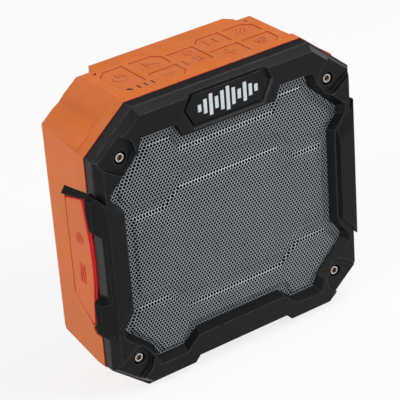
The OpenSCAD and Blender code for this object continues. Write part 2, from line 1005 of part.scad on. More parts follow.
module driver_basket() {
  y = frame_y;
  color(chip)
    difference() {
      turned()
        polygon([
          [25 * dk, y], [33 * dk, y], [33 * dk, y + 1.5], [27.4 * dk, y + 1.5], [20 * dk, y + 12],
          [20 * dk, y + 15], [9 * dk, y + 15], [9 * dk, y + 13.5], [16.5 * dk, y + 13.5],
          [16.5 * dk, y + 10.6], [19.4 * dk, y + 10.6], [25.8 * dk, y + 1.6], [25 * dk, y + 1.6]
        ]);
      for (a = [0 : 60 : 300])
        translate([0, 0, pz])
          rotate([0, a, 0])
            box([17.5 * dk, y + 2.8, -4.5 * dk], [30 * dk, y + 9.4, 4.5 * dk]);
      for (a = [45 : 90 : 315])
        bar_y(dscrew * cos(a), pz + dscrew * sin(a), y - 1, y + 2, small_r + 0.2);
    }
}

module driver_screws() {
  y = frame_y + 1.5;
  color(silver)
    for (a = [45 : 90 : 315]) {
      bar_y(dscrew * cos(a), pz + dscrew * sin(a), y, y + 1.5, small_r + 0.9);
      bar_y(dscrew * cos(a), pz + dscrew * sin(a), baffle_y + 1, y + eps, small_r);
    }
}

module terminal_strip() {
  y = frame_y + 1.5;
  color([0.5, 0.35, 0.15])
    box([-32.4 * dk, y, pz - 4], [-28.6 * dk, y + 1.5, pz + 4]);
}

module magnet_plate() {
  color(silver)
    turned()
      translate([7.5 * dk, frame_y + 15])
        square([9 * dk, 2.5]);
}

module magnet() {
  color(chip)
    turned()
      translate([9 * dk, frame_y + 17.5])
        square([8.5 * dk, 6]);
}

module pole_yoke() {
  y = frame_y;
  color(silver)
    turned()
      polygon([
        [0, y + 15.2], [6 * dk, y + 15.2], [6 * dk, y + 23.5], [16.5 * dk, y + 23.5],
        [16.5 * dk, y + 25.5], [15.5 * dk, y + 26], [0, y + 26]
      ]);
}

module spider() {
  y = frame_y + 10.6;
  n = 24;
  top = [
    for (i = [0 : n])
      [(6.65 + 12.35 * i / n) * dk, y - 0.7 - (i < n - 4 ? 0.5 * sin(i * 60) : 0)]
  ];
  low = [for (i = [n : -1 : 0]) [top[i][0], top[i][1] + 0.4 + (i > n - 4 ? 0.3 : 0)]];
  color([0.75, 0.62, 0.35])
    turned()
      polygon(concat(top, low));
}

module surround() {
  y = frame_y - 0.4;
  c = 23.2 * dk;
  r = 2.2;
  arc_out = [for (a = [0 : 10 : 180]) [c + r * cos(a), y - (r - 0.2) * sin(a)]];
  arc_in = [for (a = [180 : -10 : 0]) [c + (r - 0.5) * cos(a), y + 0.4 - (r - 0.5) * sin(a)]];
  color(rubber)
    turned()
      polygon(concat(
        [[27 * dk, y + 0.4], [27 * dk, y]], arc_out, [[21 * dk, y], [21 * dk, y + 0.4]], arc_in
      ));
}

module cone() {
  y = frame_y - 0.4;
  color(chip)
    turned()
      polygon([[6.65 * dk, y + 5.9], [21 * dk, y], [21 * dk, y + 0.6], [6.65 * dk, y + 6.6]]);
}

module dust_cap() {
  y = frame_y - 0.4;
  r = 8.5 * dk;
  f = y + 5.9 * (1 - (r - 6.65 * dk) / (14.35 * dk));
  out = [for (a = [0 : 10 : 90]) [r * cos(a), f - 2.6 * sin(a)]];
  inn = [for (a = [90 : -10 : 0]) [(r - 0.5) * cos(a), f - 2.1 * sin(a)]];
  color(chip)
    turned()
      polygon(concat(out, inn));
}

module coil_former() {
  y = frame_y;
  color([0.7, 0.55, 0.3])
    turned()
      translate([6.4 * dk, y + 4.8])
        square([0.25 * dk, 13]);
}

module voice_coil() {
  y = frame_y;
  color([0.72, 0.4, 0.2])
    turned()
      translate([6.65 * dk, y + 14.6])
        square([0.45 * dk, 3]);
}

// Electronics

module main_board() {
  color(green)
    difference() {
      box([-board_x, board_y, board_lo], [-board_x + board_w, board_y + board_t, board_hi]);
      for (p = board_posts)
        bar_y(p[0], p[1], board_y - 1, board_y + board_t + 1, small_r + 0.2);
    }
}

module board_chips() {
  x = -board_x;
  color(chip) {
    box([x + 10, board_y - 1.2, pz - 14], [x + 17, board_y, pz - 7]);
    box([x + 4, board_y - 1, pz - 24], [x + 8, board_y, pz - 20]);
    box([x + 11, board_y - 3, pz - 24], [x + 16, board_y, pz - 19]);
    bar_y(x + 7, pz - 16.5, board_y - 6, board_y, 2.5);
    bar_y(x + 15, pz - 2, board_y - 5, board_y, 2);
  }
}

module wireless_module() {
  x = -board_x;
  color([0.1, 0.2, 0.4])
    box([x + 2.4, board_y - 2, pz + 15], [x + 14.4, board_y, pz + 25]);
}

module usb_socket() {
  color(silver)
    difference() {
      translate([-panel_x, port_y - 1.6, pz + usb_z - 4.2])
        cube([8.4, board_y - port_y + 1.6, 8.4]);
      translate([-panel_x - 1, port_y - 1.2, pz + usb_z - 3.8])
        cube([7.4, 2.4, 7.6]);
    }
}

module aux_socket() {
  color(black)
    difference() {
      union() {
        box([-board_x + 0.4, aux_y - 3, pz + aux_z - 3], [-board_x + 11, board_y, pz + aux_z + 3]);
        bar_x(-panel_x, -board_x + 1, aux_y, pz + aux_z, 2.8);
      }
      bar_x(-panel_x - 1, -board_x + 9.4, aux_y, pz + aux_z, aux_d / 2);
    }
}

module board_screws() {
  color(silver)
    for (p = board_posts) {
      bar_y(p[0], p[1], board_y - 1.4, board_y, small_r + 0.9);
      bar_y(p[0], p[1], board_y - eps, board_y + board_t + 6, small_r);
    }
}

module key_board() {
  color(green)
    difference() {
      box([-kb_x, kb_y0, kb_top - board_t], [kb_x, kb_y1, kb_top]);
      for (i = [-1, 1])
        for (y = kpost_y)
          translate([i * kpost_x, y, kb_top - 5])
            cylinder(h = 10, r = small_r + 0.2);
    }
}

module key_switches() {
  color(chip)
    for (k = keys) {
      c = key_mid(k);
      box([c[0] - 2, c[1] - 2, kb_top], [c[0] + 2, c[1] + 2, sw_top - 0.8]);
      translate([c[0], c[1], sw_top - 0.8 - eps])
        cylinder(h = 0.8 + eps, r = 1.1);
    }
}

module key_board_screws() {
  color(silver)
    for (i = [-1, 1])
      for (y = kpost_y) {
        translate([i * kpost_x, y, kb_top - board_t - 1.4])
          cylinder(h = 1.4, r = small_r + 0.9);
        translate([i * kpost_x, y, kb_top - board_t - eps])
          cylinder(h = board_t + 4, r = small_r);
      }
}

module indicator_leds() {
  color([0.9, 0.9, 0.8])
    for (x = marks_x)
      translate([x * sx, part_y + marks_y * sd, kb_top])
        rise(0, 0.8)
          square([1, 1.8], center = true);
}

module indicator_lenses() {
  color([0.2, 0.12, 0.16]) {
    rise(top_in - eps, body_h - 0.2)
      marks(0);
    rise(top_in - 1.4, top_in)
      translate([-29 * sx, part_y + marks_y * sd - 0.2])
        square([12.8 * sx, 3.8], center = true);
  }
}

module microphone() {
  color(silver)
    translate([36.4 * sx, part_y + 28.2 * sd, kb_top])
      rise(0, 1.1)
        square([3, 2.4], center = true);
}

module ribbon_cable() {
  color([0.85, 0.85, 0.8])
    box(
      [-board_x + 14.8, board_y + board_t, board_hi - 6],
      [-board_x + 18.8, board_y + board_t + 0.5, kb_top - board_t]
    );
}

// Power

module battery_cell() {
  color([0.15, 0.35, 0.6])
    bar_x(-cell_l / 2, cell_l / 2, cell_y, cell_z, cell_r);
}

module battery_cradle() {
  z = floor_in;
  e = cell_l / 2;
  color(black)
    difference() {
      union() {
        box([-e - 1.6, cell_y - 9, z], [e + 1.6, cell_y + 9, z + cradle_t]);
        for (x = [-e - 1.6, e])
          box([x, cell_y - 9, z], [x + 1.6, cell_y + 9, z + 12]);
        for (x = [-20, 17])
          box([x, cell_y - 9, z], [x + 3, cell_y + 9, z + 6]);
      }
      bar_x(-e, e, cell_y, cell_z, cell_r + 0.01);
    }
}

module battery_leads() {
  x = -cell_l / 2 - 1.6;
  bx = -board_x + 12;
  y = board_y + board_t + 1.2;
  color([0.6, 0.1, 0.1])
    for (d = [0, 2.4])
      wire([
        [x, y + d, cell_z], [bx - d, y + d, cell_z], [bx - d, y + d, board_lo + 2.4],
        [bx - d, board_y + board_t, board_lo + 2.4]
      ], 0.6);
}

module driver_leads() {
  y = frame_y + 3;
  x = -30.5 * dk;
  color([0.1, 0.1, 0.1])
    for (d = [-2, 2])
      wire([
        [x, y, pz + d], [x, y + 4, pz + d], [-board_x + board_w - 1.5, y + 4, pz + d],
        [-board_x + board_w - 1.5, board_y, pz + d]
      ], 0.6);
}

// Keys on the top face

module key_power() {
  color(orange)
    key(0);
}
module key_previous() {
  color(orange)
    key(1);
}
module key_volume_down() {
  color(orange)
    key(2);
}
module key_play() {
  color(orange)
    key(3);
}
module key_next() {
  color(orange)
    key(4);
}
module key_volume_up() {
  color(orange)
    key(5);
}
module key_link() {
  color(orange)
    key(6);
}
module key_pairing() {
  color(orange)
    key(7);
}

rear_housing();
front_bezel();
bumper_left();
bumper_right();
badge_plate();
badge_mark();
grille();
grille_cloth();
baffle();
bezel_gasket();
bezel_screws();
strap_bar();
vent_inserts();
foot_pads();
port_panel();
port_cover();
driver_gasket();
driver_basket();
driver_screws();
terminal_strip();
magnet_plate();
magnet();
pole_yoke();
spider();
surround();
cone();
dust_cap();
coil_former();
voice_coil();
main_board();
board_chips();
wireless_module();
usb_socket();
aux_socket();
board_screws();
key_board();
key_switches();
key_board_screws();
indicator_leds();
indicator_lenses();
microphone();
battery_cell();
battery_cradle();
driver_leads();
battery_leads();
ribbon_cable();
key_power();
key_previous();
key_volume_down();
key_play();
key_next();
key_volume_up();
key_link();
key_pairing();
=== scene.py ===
import math

import bmesh
import bpy
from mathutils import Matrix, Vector


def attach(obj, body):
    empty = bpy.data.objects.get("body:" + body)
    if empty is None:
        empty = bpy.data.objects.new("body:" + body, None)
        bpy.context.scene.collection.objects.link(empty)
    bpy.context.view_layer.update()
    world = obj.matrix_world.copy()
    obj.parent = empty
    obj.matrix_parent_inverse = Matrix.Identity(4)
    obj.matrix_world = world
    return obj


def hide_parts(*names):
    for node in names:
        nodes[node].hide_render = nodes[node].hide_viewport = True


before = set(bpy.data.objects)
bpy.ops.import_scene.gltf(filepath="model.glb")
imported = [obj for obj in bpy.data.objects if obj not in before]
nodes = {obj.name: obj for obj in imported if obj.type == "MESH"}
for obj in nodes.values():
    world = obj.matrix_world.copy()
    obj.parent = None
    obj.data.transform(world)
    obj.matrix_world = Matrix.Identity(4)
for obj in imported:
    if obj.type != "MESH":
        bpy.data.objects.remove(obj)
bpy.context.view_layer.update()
MM = 0.001
PART_Y = -14.5  # parting line of housing and frame, mm


# Small helpers for node trees


def add(tree, kind, inputs=None, **props):
    """A node with its properties set; an input takes a plain value or a socket to link from."""
    n = tree.nodes.new(kind)
    for key, value in props.items():
        setattr(n, key, value)
    for key, value in (inputs or {}).items():
        if isinstance(value, bpy.types.NodeSocket):
            tree.links.new(value, n.inputs[key])
        else:
            n.inputs[key].default_value = value
    return n


def rgb(r, g, b):
    """A colour given as it looks on screen, 0 to 255."""
    def lin(c):
        c /= 255
        return c / 12.92 if c <= 0.04045 else ((c + 0.055) / 1.055) ** 2.4
    return (lin(r), lin(g), lin(b), 1.0)


def toned(colour, share):
    """A colour made darker or lighter."""
    return tuple(min(1.0, c * share) for c in colour[:3]) + (1.0,)


def mix(tree, mask, a, b):
    """Colour a where the mask is 0 and b where it is 1."""
    return add(tree, "ShaderNodeMix", {0: mask, 6: a, 7: b}, data_type="RGBA").outputs[2]


def ramp(tree, value, lo, hi, out_lo=0.0, out_hi=1.0):
    """A value from lo to hi, turned into one from out_lo to out_hi and held at both ends."""
    return add(tree, "ShaderNodeMapRange", {
        "Value": value, "From Min": lo, "From Max": hi, "To Min": out_lo, "To Max": out_hi,
    }).outputs[0]


def math_node(tree, operation, a, b=0.0):
    return add(tree, "ShaderNodeMath", {0: a, 1: b}, operation=operation).outputs[0]


def times(tree, a, b):
    return math_node(tree, "MULTIPLY", a, b)


def larger(tree, a, b):
    return math_node(tree, "MAXIMUM", a, b)


# Shader effects that several finishes share


def effect(name, takes, gives):
    """An empty node group with its sockets; what it takes are plain values."""
    g = bpy.data.node_groups.new(name, "ShaderNodeTree")
    for label, value in takes:
        s = g.interface.new_socket(label, in_out="INPUT", socket_type="NodeSocketFloat")
        s.default_value = value
    for label, kind in gives:
        g.interface.new_socket(label, in_out="OUTPUT", socket_type=kind)
    return g, add(g, "NodeGroupInput"), add(g, "NodeGroupOutput")


def make_moulded_grain():
    """Spark-eroded mould texture: a fine height, and slow mottling for colour and gloss."""
    g, i, o = effect("moulded_grain", [("Grain Scale", 2500), ("Mottle Scale", 55)],
                     [("Height", "NodeSocketFloat"), ("Mottle", "NodeSocketFloat")])
    at = add(g, "ShaderNodeTexCoord").outputs["Object"]
    fine = add(g, "ShaderNodeTexNoise", {"Vector": at, "Scale": i.outputs[0], "Detail": 3.0})
    cells = add(g, "ShaderNodeTexVoronoi", {"Vector": at, "Scale": i.outputs[0]})
    slow = add(g, "ShaderNodeTexNoise", {"Vector": at, "Scale": i.outputs[1], "Detail": 4.0})
    g.links.new(math_node(g, "ADD", fine.outputs[0], cells.outputs[0]), o.inputs["Height"])
    g.links.new(ramp(g, slow.outputs[0], 0.3, 0.7), o.inputs["Mottle"])
    return g


def make_edge_highlight():
    """Rounded edges with a painted highlight: a broken mask along them and a softened normal."""
    g, i, o = effect("edge_highlight", [("Radius", 0.0005), ("Break Scale", 400)],
                     [("Edge", "NodeSocketFloat"), ("Normal", "NodeSocketVector")])
    soft = add(g, "ShaderNodeBevel", {"Radius": i.outputs[0]}, samples=6)
    true = add(g, "ShaderNodeNewGeometry")
    turn = add(g, "ShaderNodeVectorMath", {0: soft.outputs[0], 1: true.outputs["Normal"]},
               operation="DOT_PRODUCT")
    edge = ramp(g, turn.outputs["Value"], 0.995, 0.9)
    at = add(g, "ShaderNodeTexCoord").outputs["Object"]
    spots = add(g, "ShaderNodeTexNoise", {"Vector": at, "Scale": i.outputs[1], "Detail": 3.0})
    g.links.new(times(g, edge, ramp(g, spots.outputs[0], 0.25, 0.5)), o.inputs["Edge"])
    g.links.new(soft.outputs[0], o.inputs["Normal"])
    return g


def make_seam_shade():
    """Where two pieces meet, or a groove runs, light is lost."""
    g, i, o = effect("seam_shade", [("Reach", 0.002)], [("Shade", "NodeSocketFloat")])
    seen = add(g, "ShaderNodeAmbientOcclusion", {"Distance": i.outputs[0]}, samples=8)
    g.links.new(ramp(g, seen.outputs["AO"], 0.85, 0.3), o.inputs["Shade"])
    return g


def make_settled_dust():
    """Pale dust on faces that look up."""
    g, i, o = effect("settled_dust", [("Cover", 0.3)], [("Dust", "NodeSocketFloat")])
    true = add(g, "ShaderNodeNewGeometry")
    up = add(g, "ShaderNodeSeparateXYZ", {0: true.outputs["Normal"]}).outputs["Z"]
    at = add(g, "ShaderNodeTexCoord").outputs["Object"]
    drift = add(g, "ShaderNodeTexNoise", {"Vector": at, "Scale": 120.0, "Detail": 6.0})
    lying = times(g, ramp(g, up, 0.3, 0.95), ramp(g, drift.outputs[0], 0.45, 0.75))
    g.links.new(times(g, lying, i.outputs[0]), o.inputs["Dust"])
    return g


GRAIN = make_moulded_grain()
EDGE_HIGHLIGHT = make_edge_highlight()
SEAM = make_seam_shade()
DUST = make_settled_dust()


def placed(tree, group, **values):
    """A group in a finish, with its own values."""
    n = add(tree, "ShaderNodeGroup", node_tree=group)
    for key, value in values.items():
        n.inputs[key.replace("_", " ")].default_value = value
    return n


# Finishes, by name

finish = {}


def new_finish(name):
    m = bpy.data.materials.new(name)
    m.use_nodes = True
    finish[name] = m
    return m.node_tree, m.node_tree.nodes["Principled BSDF"]


def bumped(tree, shader, strength, distance, height, normal=None):
    """Links a fine relief to a shader's normal."""
    inputs = {"Strength": strength, "Distance": distance, "Height": height}
    if normal:
        inputs["Normal"] = normal
    tree.links.new(add(tree, "ShaderNodeBump", inputs).outputs[0], shader.inputs["Normal"])


ORANGE = rgb(207, 107, 47)
ORANGE_SHADE = rgb(212, 66, 40)
# Painted highlight along the orange's edges
ORANGE_EDGE = rgb(230, 152, 100)
DUST_COLOUR = rgb(200, 192, 180)
DARK = 0.93  # darkest share of a mottled colour
LIGHT = 1.06  # lightest share of it
DULL = 0.95  # roughness of seams and of dull faces
FRONT_EDGE = (PART_Y + 0.2) * MM  # how far back the housing's front edge reaches
FADE = 0.0002  # depth over which a front colour ends, m
UP = 0.8  # upward part of a face's normal from which the face looks up
SLOPING_UP = 0.4  # the same, with the sloping faces
UP_RANGE = 0.15  # rise of that part over which a face turns dull


def moulded(name, colour, shade, edge, rough, grain=2500, bump=0.15, dust=0.05, spec=0.5,
            radius=0.0004, reach=0.002, metal=0.0, edge_share=0.6, shade_share=0.8, front=None,
            front_to=None, dull_from=None, dull_sides=False):
    """Plastic, rubber or painted metal with grain, mottling, painted edge highlights, shaded seams and
    dust.

    Faces to the front can take a painted light in a colour of its own, down to a depth. Faces that
    look up or to the sides can be dull.
    """
    t, p = new_finish(name)
    g = placed(t, GRAIN, Grain_Scale=grain).outputs
    w = placed(t, EDGE_HIGHLIGHT, Radius=radius).outputs
    s = placed(t, SEAM, Reach=reach).outputs
    d = placed(t, DUST, Cover=dust).outputs
    where = add(t, "ShaderNodeTexCoord").outputs
    looks = add(t, "ShaderNodeSeparateXYZ", {0: where["Normal"]}).outputs
    c = mix(t, g["Mottle"], toned(colour, DARK), toned(colour, LIGHT))
    # Painted light on faces that look to the front, in the front colour
    if front:
        share = ramp(t, looks["Y"], -0.3, -0.8)
        if front_to is not None:
            depth = add(t, "ShaderNodeSeparateXYZ", {0: where["Object"]}).outputs["Y"]
            share = times(t, share, ramp(t, depth, front_to, front_to + FADE, 1, 0))
        c = mix(t, share, c, front)
    # Painted highlight along the edges, in the edge colour
    c = mix(t, times(t, w["Edge"], edge_share), c, edge)
    c = mix(t, times(t, s["Shade"], shade_share), c, shade)
    c = mix(t, d["Dust"], c, DUST_COLOUR)
    t.links.new(c, p.inputs["Base Color"])
    dull = s["Shade"]
    if dull_from is not None:
        dull = larger(t, dull, ramp(t, looks["Z"], dull_from, dull_from + UP_RANGE))
    if dull_sides:
        dull = larger(t, dull, ramp(t, math_node(t, "ABSOLUTE", looks["X"]), 0.6, 0.9))
    coarse = ramp(t, g["Mottle"], 0, 1, rough - 0.05, rough + 0.06)
    coarse = math_node(t, "ADD", coarse, times(t, dull, DULL - rough))
    t.links.new(coarse, p.inputs["Roughness"])
    bumped(t, p, bump, 0.0002, g["Height"], w["Normal"])
    p.inputs["Specular IOR Level"].default_value = spec
    p.inputs["Metallic"].default_value = metal


# The front colours below are painted light on faces that look to the front; the edge colours are
# painted highlights along edges
moulded("shell_orange", ORANGE, ORANGE_SHADE, ORANGE_EDGE, 0.5, spec=0.22, radius=0.0008,
        front=rgb(236, 38, 36), front_to=FRONT_EDGE, dull_from=UP)
moulded("cover_orange", rgb(207, 108, 60), rgb(206, 28, 32), rgb(232, 32, 40), 0.55, bump=0.12,
        spec=0.22, radius=0.0013, edge_share=0.9, front=rgb(244, 34, 44))
moulded("key_orange", rgb(204, 106, 50), rgb(196, 40, 28), ORANGE_EDGE, 0.55, bump=0.12,
        shade_share=1.0, reach=0.0012, spec=0.22, radius=0.0007, dull_from=UP)
moulded("frame_black", rgb(12, 12, 13), rgb(5, 5, 5), rgb(100, 100, 102), 0.3, dust=0.0,
        radius=0.0006, spec=0.16, dull_from=UP, edge_share=0.4, reach=0.005)
moulded("bumper_black", rgb(18, 18, 19), rgb(5, 5, 5), rgb(76, 76, 77), 0.33, dust=0.01,
        radius=0.0007, spec=0.13, dull_from=SLOPING_UP, dull_sides=True, edge_share=0.45)
moulded("badge_black", rgb(13, 13, 14), rgb(5, 5, 5), rgb(44, 44, 44), 0.3, spec=0.15)
moulded("mark_pale", rgb(214, 222, 226), rgb(120, 124, 128), rgb(235, 240, 242), 0.5)
moulded("grille_grey", rgb(164, 170, 175), rgb(40, 42, 44), rgb(205, 210, 214), 0.4, grain=4000,
        bump=0.1, radius=0.0001, reach=0.0003, metal=0.5, edge_share=0.2, shade_share=0.4)
moulded("inner_black", rgb(26, 26, 27), rgb(8, 8, 8), rgb(60, 60, 60), 0.5)
moulded("seal_rubber", rgb(22, 22, 22), rgb(6, 6, 6), rgb(48, 48, 48), 0.7)
moulded("basket_paint", rgb(32, 32, 34), rgb(8, 8, 8), rgb(90, 90, 92), 0.45)
moulded("ferrite", rgb(44, 44, 48), rgb(12, 12, 12), rgb(84, 84, 88), 0.65, grain=1500, bump=0.35)
moulded("chip_black", rgb(26, 26, 28), rgb(8, 8, 8), rgb(70, 70, 70), 0.5)
moulded("lens_smoke", rgb(34, 18, 28), rgb(14, 8, 12), rgb(50, 32, 42), 0.35, bump=0.02, spec=0.1,
        dust=0.0)
moulded("led_white", rgb(236, 234, 214), rgb(150, 146, 120), rgb(250, 250, 240), 0.25, bump=0.02)
moulded("wire_red", rgb(150, 28, 26), rgb(60, 8, 8), rgb(190, 70, 64), 0.4)
moulded("ribbon_white", rgb(222, 220, 208), rgb(150, 148, 138), rgb(240, 240, 235), 0.4)
moulded("cell_blue", rgb(52, 98, 158), rgb(20, 40, 70), rgb(110, 150, 200), 0.3, bump=0.03)
moulded("shield_blue", rgb(70, 92, 128), rgb(24, 34, 52), rgb(150, 165, 190), 0.35, metal=0.6)


def metal_finish(name, colour, rough, scratch=900, along=(1, 1, 0.06), reach=0.0012,
                 shade=rgb(24, 22, 20)):
    """Bare metal with fine drawn lines and painted shade in its seams."""
    t, p = new_finish(name)
    at = add(t, "ShaderNodeTexCoord").outputs["Object"]
    drawn = add(t, "ShaderNodeMapping", {"Vector": at, "Scale": along}).outputs[0]
    lines = add(t, "ShaderNodeTexNoise", {"Vector": drawn, "Scale": scratch, "Detail": 4.0}).outputs[0]
    w = placed(t, EDGE_HIGHLIGHT, Radius=0.00015)
    s = placed(t, SEAM, Reach=reach)
    c = mix(t, ramp(t, lines, 0.3, 0.7), toned(colour, 0.8), colour)
    c = mix(t, times(t, s.outputs["Shade"], 0.9), c, shade)
    t.links.new(c, p.inputs["Base Color"])
    t.links.new(ramp(t, lines, 0.3, 0.7, rough - 0.08, rough + 0.1), p.inputs["Roughness"])
    bumped(t, p, 0.12, 0.0001, lines, w.outputs["Normal"])
    p.inputs["Metallic"].default_value = 1.0


metal_finish("screw_steel", rgb(190, 187, 182), 0.2, reach=0.003, shade=rgb(98, 74, 46))
metal_finish("plated_steel", rgb(196, 198, 200), 0.32)
metal_finish("copper_wire", rgb(190, 106, 62), 0.3, 1600, (0.05, 1, 0.05))
metal_finish("foil_gold", rgb(190, 150, 96), 0.36)


def woven(name, thread, gap, count, sheen):
    """Cloth: two sets of threads crossing."""
    t, p = new_finish(name)
    at = add(t, "ShaderNodeTexCoord").outputs["Object"]
    warp, weft = (
        add(t, "ShaderNodeTexWave", {"Vector": at, "Scale": count, "Distortion": 0.4},
            bands_direction=across).outputs[1]
        for across in ("X", "Z")
    )
    up = larger(t, warp, weft)
    t.links.new(mix(t, ramp(t, up, 0.4, 0.9), gap, thread), p.inputs["Base Color"])
    t.links.new(ramp(t, up, 0, 1, 0.95, 0.75), p.inputs["Roughness"])
    bumped(t, p, 0.5, 0.0002, up)
    p.inputs["Sheen Weight"].default_value = sheen
    p.inputs["Specular IOR Level"].default_value = 0.1


woven("cloth_black", rgb(9, 9, 9), rgb(3, 3, 3), 900, 0.0)
woven("spider_weave", rgb(196, 164, 104), rgb(120, 92, 50), 700, 0.2)


def pressed_paper():
    """The cone's dark paper, with short fibres."""
    t, p = new_finish("cone_paper")
    at = add(t, "ShaderNodeTexCoord").outputs["Object"]
    fibre = add(t, "ShaderNodeTexNoise", {
        "Vector": at, "Scale": 900.0, "Detail": 6.0, "Distortion": 1.5,
    }).outputs[0]
    t.links.new(mix(t, ramp(t, fibre, 0.35, 0.65), rgb(20, 20, 21), rgb(46, 45, 44)),
                p.inputs["Base Color"])
    t.links.new(ramp(t, fibre, 0, 1, 0.7, 0.95), p.inputs["Roughness"])
    bumped(t, p, 0.4, 0.0003, fibre)


def printed_board():
    """Green solder mask over copper runs."""
    t, p = new_finish("board_green")
    at = add(t, "ShaderNodeTexCoord").outputs["Object"]
    runs = add(t, "ShaderNodeTexBrick", {
        "Vector": at, "Scale": 240.0, "Mortar Size": 0.02, "Color1": rgb(22, 92, 52),
        "Color2": rgb(16, 78, 44), "Mortar": rgb(60, 134, 78),
    }).outputs
    t.links.new(runs[0], p.inputs["Base Color"])
    t.links.new(ramp(t, runs[1], 0, 1, 0.35, 0.25), p.inputs["Roughness"])
    bumped(t, p, 0.2, 0.0001, runs[1])


pressed_paper()
printed_board()

KEYS = ["key_power", "key_previous", "key_volume_down", "key_play", "key_next", "key_volume_up",
        "key_link", "key_pairing"]
worn_by = {
    "shell_orange": ["rear_housing", "strap_bar"],
    "cover_orange": ["port_cover"],
    "key_orange": KEYS,
    "frame_black": ["front_bezel"],
    "bumper_black": ["bumper_left", "bumper_right", "port_panel"],
    "badge_black": ["badge_plate"],
    "mark_pale": ["badge_mark"],
    "grille_grey": ["grille"],
    "cloth_black": ["grille_cloth"],
    "inner_black": ["baffle", "battery_cradle", "aux_socket", "terminal_strip"],
    "seal_rubber": ["bezel_gasket", "driver_gasket", "vent_inserts", "foot_pads", "surround"],
    "screw_steel": ["bezel_screws", "driver_screws", "board_screws", "key_board_screws"],
    "plated_steel": ["magnet_plate", "pole_yoke", "usb_socket", "microphone"],
    "basket_paint": ["driver_basket"],
    "ferrite": ["magnet"],
    "spider_weave": ["spider"],
    "cone_paper": ["cone", "dust_cap"],
    "foil_gold": ["coil_former"],
    "copper_wire": ["voice_coil"],
    "board_green": ["main_board", "key_board"],
    "chip_black": ["board_chips", "key_switches"],
    "shield_blue": ["wireless_module"],
    "led_white": ["indicator_leds"],
    "lens_smoke": ["indicator_lenses"],
    "cell_blue": ["battery_cell"],
    "wire_red": ["driver_leads", "battery_leads"],
    "ribbon_white": ["ribbon_cable"],
}
for name, members in worn_by.items():
    for n in members:
        nodes[n].data.materials.clear()
        nodes[n].data.materials.append(finish[name])


# The perforated grille sheet

PANEL_Z = 59.8  # height of the grille's middle, mm
SHEET_Y = -19.3  # flat of the sheet, mm
PRESS = 1.0  # height of the pressed panels, mm
PRESS_FOOT = -0.7  # how far a panel's outline draws in at its foot, mm
PRESS_TOP = 0.6  # and at its top, mm
FORM_HALF = 70  # half the width of the pressing form, mm
SHEET_SHARE = 1.035  # size of the sheet against that of the opening
HOLE_PITCH = 1.435  # along a row, mm
ROW_STEP = 1.174  # from row to row, mm
HOLE_DIAMETER = 1.27  # mm
HOLE_SIDES = 8
SHEET_THICKNESS = 0.1  # as seen in a hole, mm
COLUMNS = 82
ROWS = 90
START_Y = -60  # where the cells lie before they are pressed, mm


def mirrored(half):
    return half + [(-x, z) for x, z in reversed(half)]


def opening_outline(k):
    """The frame's opening, scaled by k."""
    half = [(20.8, -42.8), (27.3, -48.5), (39.6, -48.5), (41.3, -43), (54.5, -30.5), (54.5, -27),
            (49.5, -21), (49.5, 21), (54.5, 27), (54.5, 30.5), (41.3, 43), (39.6, 48.5),
            (23.7, 48.5), (20.8, 42.8)]
    return [(x * k, z * k) for x, z in mirrored(half)]


def middle_panel(g):
    """The middle pressed panel, drawn in by g."""
    return mirrored([(24.4, -25 + g), (32.6, -18.4 + g), (46 - g, -18.4 + g), (46 - g, 15.8 - g),
                     (32.2, 15.8 - g), (24, 22 - g)])


def end_panel(g, up):
    """The upper or lower pressed panel, drawn in by g; the lower one leaves a wider gap."""
    more = 0 if up else 2
    p = mirrored([(22.5 - g * 0.4, 29.2 + g), (32.4, 21.6 + g), (46.5 - g, 21.6 + g),
                  (51 - g, 26.6 + g * 0.6), (51 - g, 29.8 - g), (39 - g, 41 - g),
                  (37.2 - g, 44.6 - g), (25.8 + more + g, 44.6 - g), (22.8 + more, 38.2 - g)])
    return p if up else [(x, -z - 2.2) for x, z in reversed(p)]


def upper_panel(g):
    return end_panel(g, True)


def lower_panel(g):
    return end_panel(g, False)


def plain_mesh(name, bm):
    me = bpy.data.meshes.new(name)
    bm.to_mesh(me)
    bm.free()
    o = bpy.data.objects.new(name, me)
    bpy.context.scene.collection.objects.link(o)
    return o


def flat_shape(bm, pts, y):
    return bm.faces.new([bm.verts.new((x * MM, y * MM, (z + PANEL_Z) * MM)) for x, z in pts])


def press_form():
    """The form the sheet is pressed on: a flat with three raised panels."""
    bm = bmesh.new()
    h = FORM_HALF
    flat_shape(bm, [(-h, -h), (h, -h), (h, h), (-h, h)], SHEET_Y)
    for shape in (middle_panel, upper_panel, lower_panel):
        foot = flat_shape(bm, shape(PRESS_FOOT), SHEET_Y)
        top = flat_shape(bm, shape(PRESS_TOP), SHEET_Y - PRESS)
        n = len(foot.verts)
        for i in range(n):
            j = (i + 1) % n
            bm.faces.new([foot.verts[i], foot.verts[j], top.verts[j], top.verts[i]])
        bm.faces.remove(foot)
    return plain_mesh("press_form", bm)


def sheet_outline():
    bm = bmesh.new()
    flat_shape(bm, opening_outline(SHEET_SHARE), SHEET_Y)
    return plain_mesh("sheet_outline", bm)


